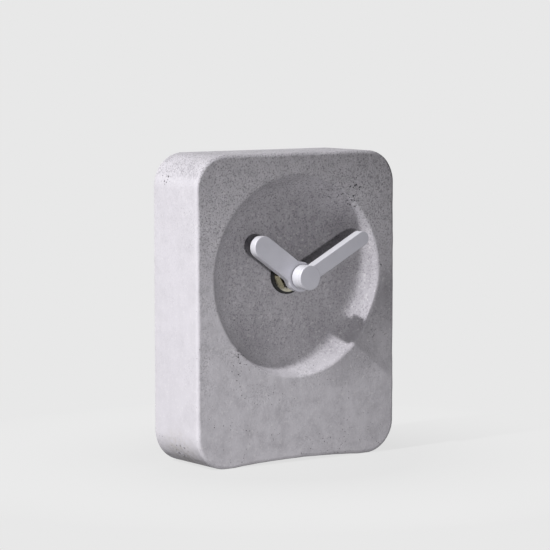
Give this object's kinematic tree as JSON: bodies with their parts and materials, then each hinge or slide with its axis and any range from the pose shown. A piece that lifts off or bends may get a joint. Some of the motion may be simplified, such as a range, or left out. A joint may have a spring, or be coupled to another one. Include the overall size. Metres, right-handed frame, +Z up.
{
  "type": "table clock",
  "caption": "Small table clock: a cast concrete block with a dished, bare dial and two thick hands, driven by a battery quartz movement set into its back.",
  "frame": {"origin": "on the table, under the middle of the clock's overall width and depth", "axes": "the dial faces -Y, +X is to the right seen from the front, +Z is up"},
  "size_m": [0.1014, 0.0416, 0.13],
  "materials": {
    "cast_concrete": "cast, fine open pores",
    "matt_aluminium": "bead blasted, matt anodised",
    "turned_brass": "turned, bright",
    "black_rubber": "matt",
    "black_plastic": "moulded, fine grain",
    "black_knob_plastic": "moulded",
    "white_acetal": "moulded, slightly glossy",
    "ivory_plastic": "moulded",
    "ferrite_magnet": "sintered",
    "silicon_steel": "stamped",
    "enamelled_copper": "wound enamelled wire",
    "plated_spring_steel": "nickel plated strip",
    "brown_laminate": "phenolic laminate",
    "black_epoxy": "poured",
    "crystal_can": "drawn can",
    "cell_sleeve": "plain shrink sleeve on a steel can"
  },
  "bodies": {
    "clock_body": {"concrete_body": "cast_concrete", "threaded_bush": "turned_brass", "rubber_washer": "black_rubber", "brass_washer": "turned_brass", "hex_nut": "turned_brass", "movement_case": "black_plastic", "middle_plate": "ivory_plastic", "movement_cover": "black_plastic", "positive_contact": "plated_spring_steel", "negative_contact": "plated_spring_steel", "circuit_board": "brown_laminate", "chip_cover": "black_epoxy", "quartz_crystal": "crystal_can", "coil_core": "silicon_steel", "coil_bobbin": "ivory_plastic", "coil_winding": "enamelled_copper", "stator": "silicon_steel"},
    "minute_hand_group": {"cannon_pinion": "turned_brass", "minute_hand": "matt_aluminium", "minute_hand_cap": "matt_aluminium"},
    "hour_hand_group": {"hour_wheel": "white_acetal", "hour_hand": "matt_aluminium", "hour_hand_collet": "turned_brass"},
    "reduction_wheel": {"reduction_wheel": "white_acetal"},
    "setting_knob": {"setting_knob": "black_knob_plastic"},
    "rotor": {"rotor_pinion": "white_acetal", "rotor_magnet": "ferrite_magnet"},
    "fifth_wheel": {"fifth_wheel": "white_acetal"},
    "second_wheel": {"second_wheel": "white_acetal"},
    "third_wheel": {"third_wheel": "white_acetal"},
    "minute_drive_wheel": {"minute_drive_wheel": "white_acetal"},
    "battery": {"battery": "cell_sleeve"}
  },
  "joints": [
    {"name": "minute_hand_turn", "type": "hinge", "parent": "clock_body", "child": "minute_hand_group", "pos_m": [0, 0, 0.0781], "axis": [0, 1, 0], "continuous": true},
    {"name": "hour_hand_turn", "type": "hinge", "parent": "clock_body", "child": "hour_hand_group", "pos_m": [0, 0, 0.0781], "axis": [0, 1, 0], "continuous": true},
    {"name": "reduction_wheel_turn", "type": "hinge", "parent": "clock_body", "child": "reduction_wheel", "pos_m": [-0.00614, 0, 0.0738], "axis": [0, 1, 0], "continuous": true},
    {"name": "setting_knob_turn", "type": "hinge", "parent": "clock_body", "child": "setting_knob", "pos_m": [-0.01353, 0, 0.0751], "axis": [0, 1, 0], "continuous": true},
    {"name": "rotor_turn", "type": "hinge", "parent": "clock_body", "child": "rotor", "pos_m": [0.00364, 0, 0.09079], "axis": [0, 1, 0], "continuous": true},
    {"name": "fifth_wheel_turn", "type": "hinge", "parent": "clock_body", "child": "fifth_wheel", "pos_m": [0.00486, 0, 0.08389], "axis": [0, 1, 0], "continuous": true},
    {"name": "second_wheel_turn", "type": "hinge", "parent": "clock_body", "child": "second_wheel", "pos_m": [0, 0, 0.0781], "axis": [0, 1, 0], "continuous": true},
    {"name": "third_wheel_turn", "type": "hinge", "parent": "clock_body", "child": "third_wheel", "pos_m": [-0.00677, 0, 0.08056], "axis": [0, 1, 0], "continuous": true},
    {"name": "minute_drive_wheel_turn", "type": "hinge", "parent": "clock_body", "child": "minute_drive_wheel", "pos_m": [0, 0, 0.0781], "axis": [0, 1, 0], "continuous": true},
    {"name": "battery_slide", "type": "slide", "parent": "clock_body", "child": "battery", "axis": [0, 1, 0], "range_m": [0, 0.022]}
  ],
  "couplings": [
    {"joint": "reduction_wheel_turn", "follows": "minute_hand_turn", "ratio": -0.33333},
    {"joint": "hour_hand_turn", "follows": "minute_hand_turn", "ratio": 0.083333},
    {"joint": "setting_knob_turn", "follows": "minute_hand_turn", "ratio": 1},
    {"joint": "fifth_wheel_turn", "follows": "rotor_turn", "ratio": -0.16667},
    {"joint": "second_wheel_turn", "follows": "rotor_turn", "ratio": 0.033333},
    {"joint": "third_wheel_turn", "follows": "rotor_turn", "ratio": -0.0044444},
    {"joint": "minute_drive_wheel_turn", "follows": "rotor_turn", "ratio": 0.00055556}
  ]
}
